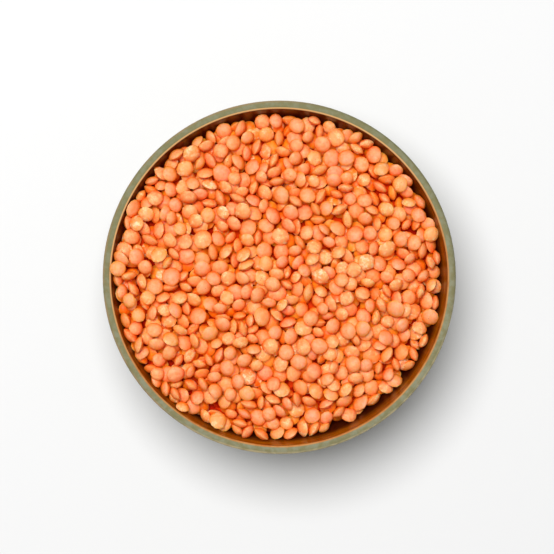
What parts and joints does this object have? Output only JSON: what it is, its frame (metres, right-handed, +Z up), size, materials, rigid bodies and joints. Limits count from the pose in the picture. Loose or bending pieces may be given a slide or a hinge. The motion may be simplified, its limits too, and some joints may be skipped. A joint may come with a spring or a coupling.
{
  "type": "bowl of dry lentils",
  "caption": "Small round stoneware bowl, glazed green outside and amber inside, filled to the rim with dry orange lentils.",
  "frame": {"origin": "middle of the underside of the foot, on the surface that the bowl stands on", "axes": "+Z up, +X to the right and +Y up the page of the picture, which looks straight down"},
  "size_m": [0.1, 0.1, 0.0464],
  "materials": {
    "stoneware_glaze": "glossy glaze: sage green on the lip and outside, amber brown inside, thin and peach where it breaks over the lip's edges, with a bare buff foot",
    "lentil_skin": "smooth half-matte skin, orange to salmon"
  },
  "bodies": {
    "root": {"bowl": "stoneware_glaze", "lentils": "lentil_skin"}
  },
  "joints": []
}
